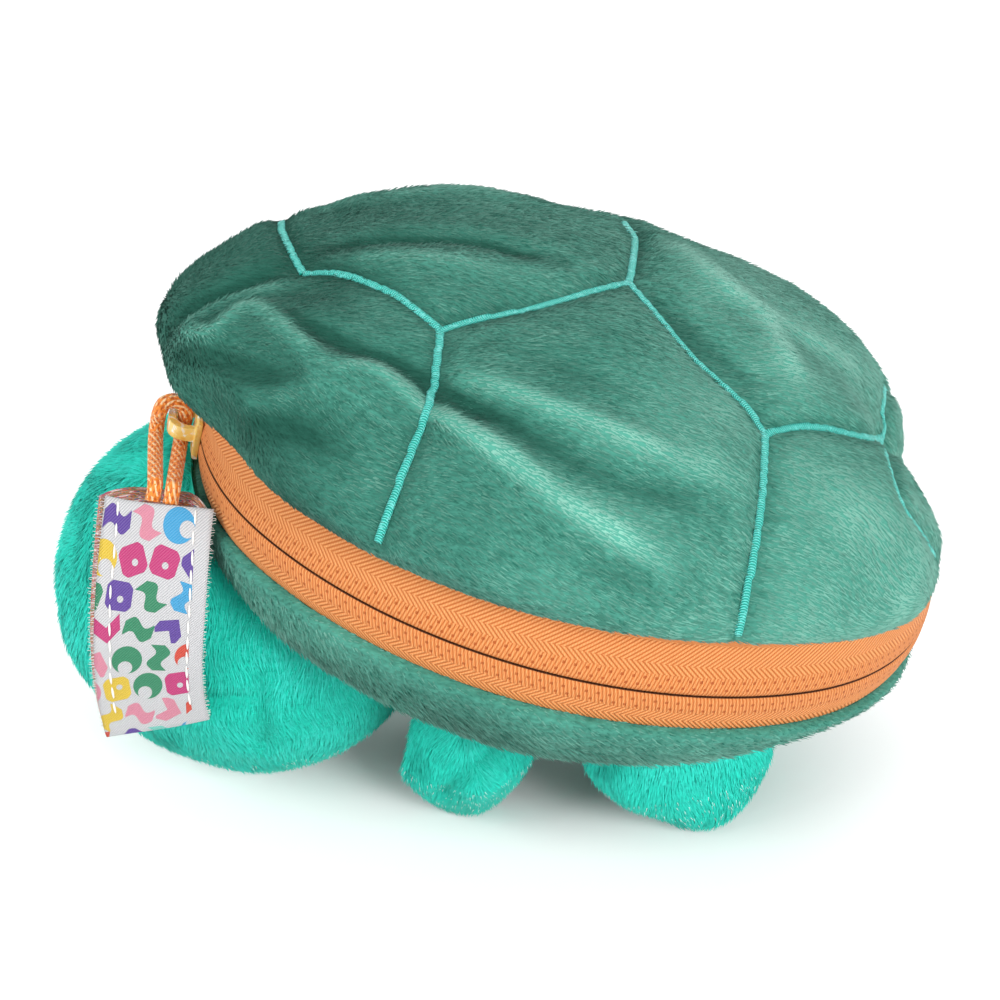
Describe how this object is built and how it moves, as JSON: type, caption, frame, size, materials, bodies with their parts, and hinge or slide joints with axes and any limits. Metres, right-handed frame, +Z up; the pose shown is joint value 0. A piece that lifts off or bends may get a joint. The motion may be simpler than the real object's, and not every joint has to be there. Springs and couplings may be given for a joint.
{
  "type": "plush turtle pouch",
  "caption": "Stuffed turtle with a padded shell pouch that opens by a zip round its rim, with a cord and ribbon pull.",
  "frame": {"origin": "bottom centre of the box round the turtle, on the surface it stands on", "axes": "+X along the body from head to rear, +Z up, the zip and slider on the -Y side"},
  "size_m": [0.1938, 0.1502, 0.1277],
  "materials": {
    "green_plush": "short pile",
    "aqua_plush": "long soft pile",
    "tape": "woven",
    "coil": "satin",
    "slider_plastic": "marbled, translucent",
    "cord": "braided",
    "label": "woven satin",
    "eye": "polished",
    "filling": "fibre",
    "padding": "fleece",
    "lining": "woven"
  },
  "bodies": {
    "base": {"base_cover": "green_plush", "base_padding": "padding", "base_lining": "lining", "lower_zip_tape": "tape", "lower_zip_coil": "coil", "lower_zip_stop": "coil", "rear_zip_stop": "coil", "hinge_gusset": "green_plush", "head_skin": "aqua_plush", "head_filling": "filling", "front_leg_near_skin": "aqua_plush", "front_leg_near_filling": "filling", "front_leg_far_skin": "aqua_plush", "front_leg_far_filling": "filling", "rear_leg_near_skin": "aqua_plush", "rear_leg_near_filling": "filling", "rear_leg_far_skin": "aqua_plush", "rear_leg_far_filling": "filling", "eye_near": "eye", "eye_far": "eye"},
    "lid": {"dome_cover": "green_plush", "dome_padding": "padding", "dome_lining": "lining", "upper_zip_tape": "tape", "upper_zip_coil": "coil", "upper_zip_stop": "coil"},
    "slider": {"zip_slider": "slider_plastic"},
    "pull": {"pull_cord": "cord", "pull_label": "label"}
  },
  "joints": [
    {"name": "lid_hinge", "type": "hinge", "parent": "base", "child": "lid", "pos_m": [0.01661, 0.0704, 0.0698], "axis": [-0.9728, 0, 0.2317], "range_deg": [0, 110], "deforming": ["hinge_gusset"]},
    {"name": "slider_run", "type": "hinge", "parent": "base", "child": "slider", "pos_m": [0.00009, 0, 0.07374], "axis": [0.2317, 0, 0.9728], "range_deg": [0, 30], "deforming": ["lower_zip_tape", "lower_zip_coil", "upper_zip_tape", "upper_zip_coil"]},
    {"name": "pull_swing", "type": "hinge", "parent": "slider", "child": "pull", "pos_m": [-0.0646, -0.01474, 0.08915], "axis": [-0.2105, 0.9763, 0.0502], "range_deg": [0, 100], "deforming": ["pull_cord"]}
  ]
}
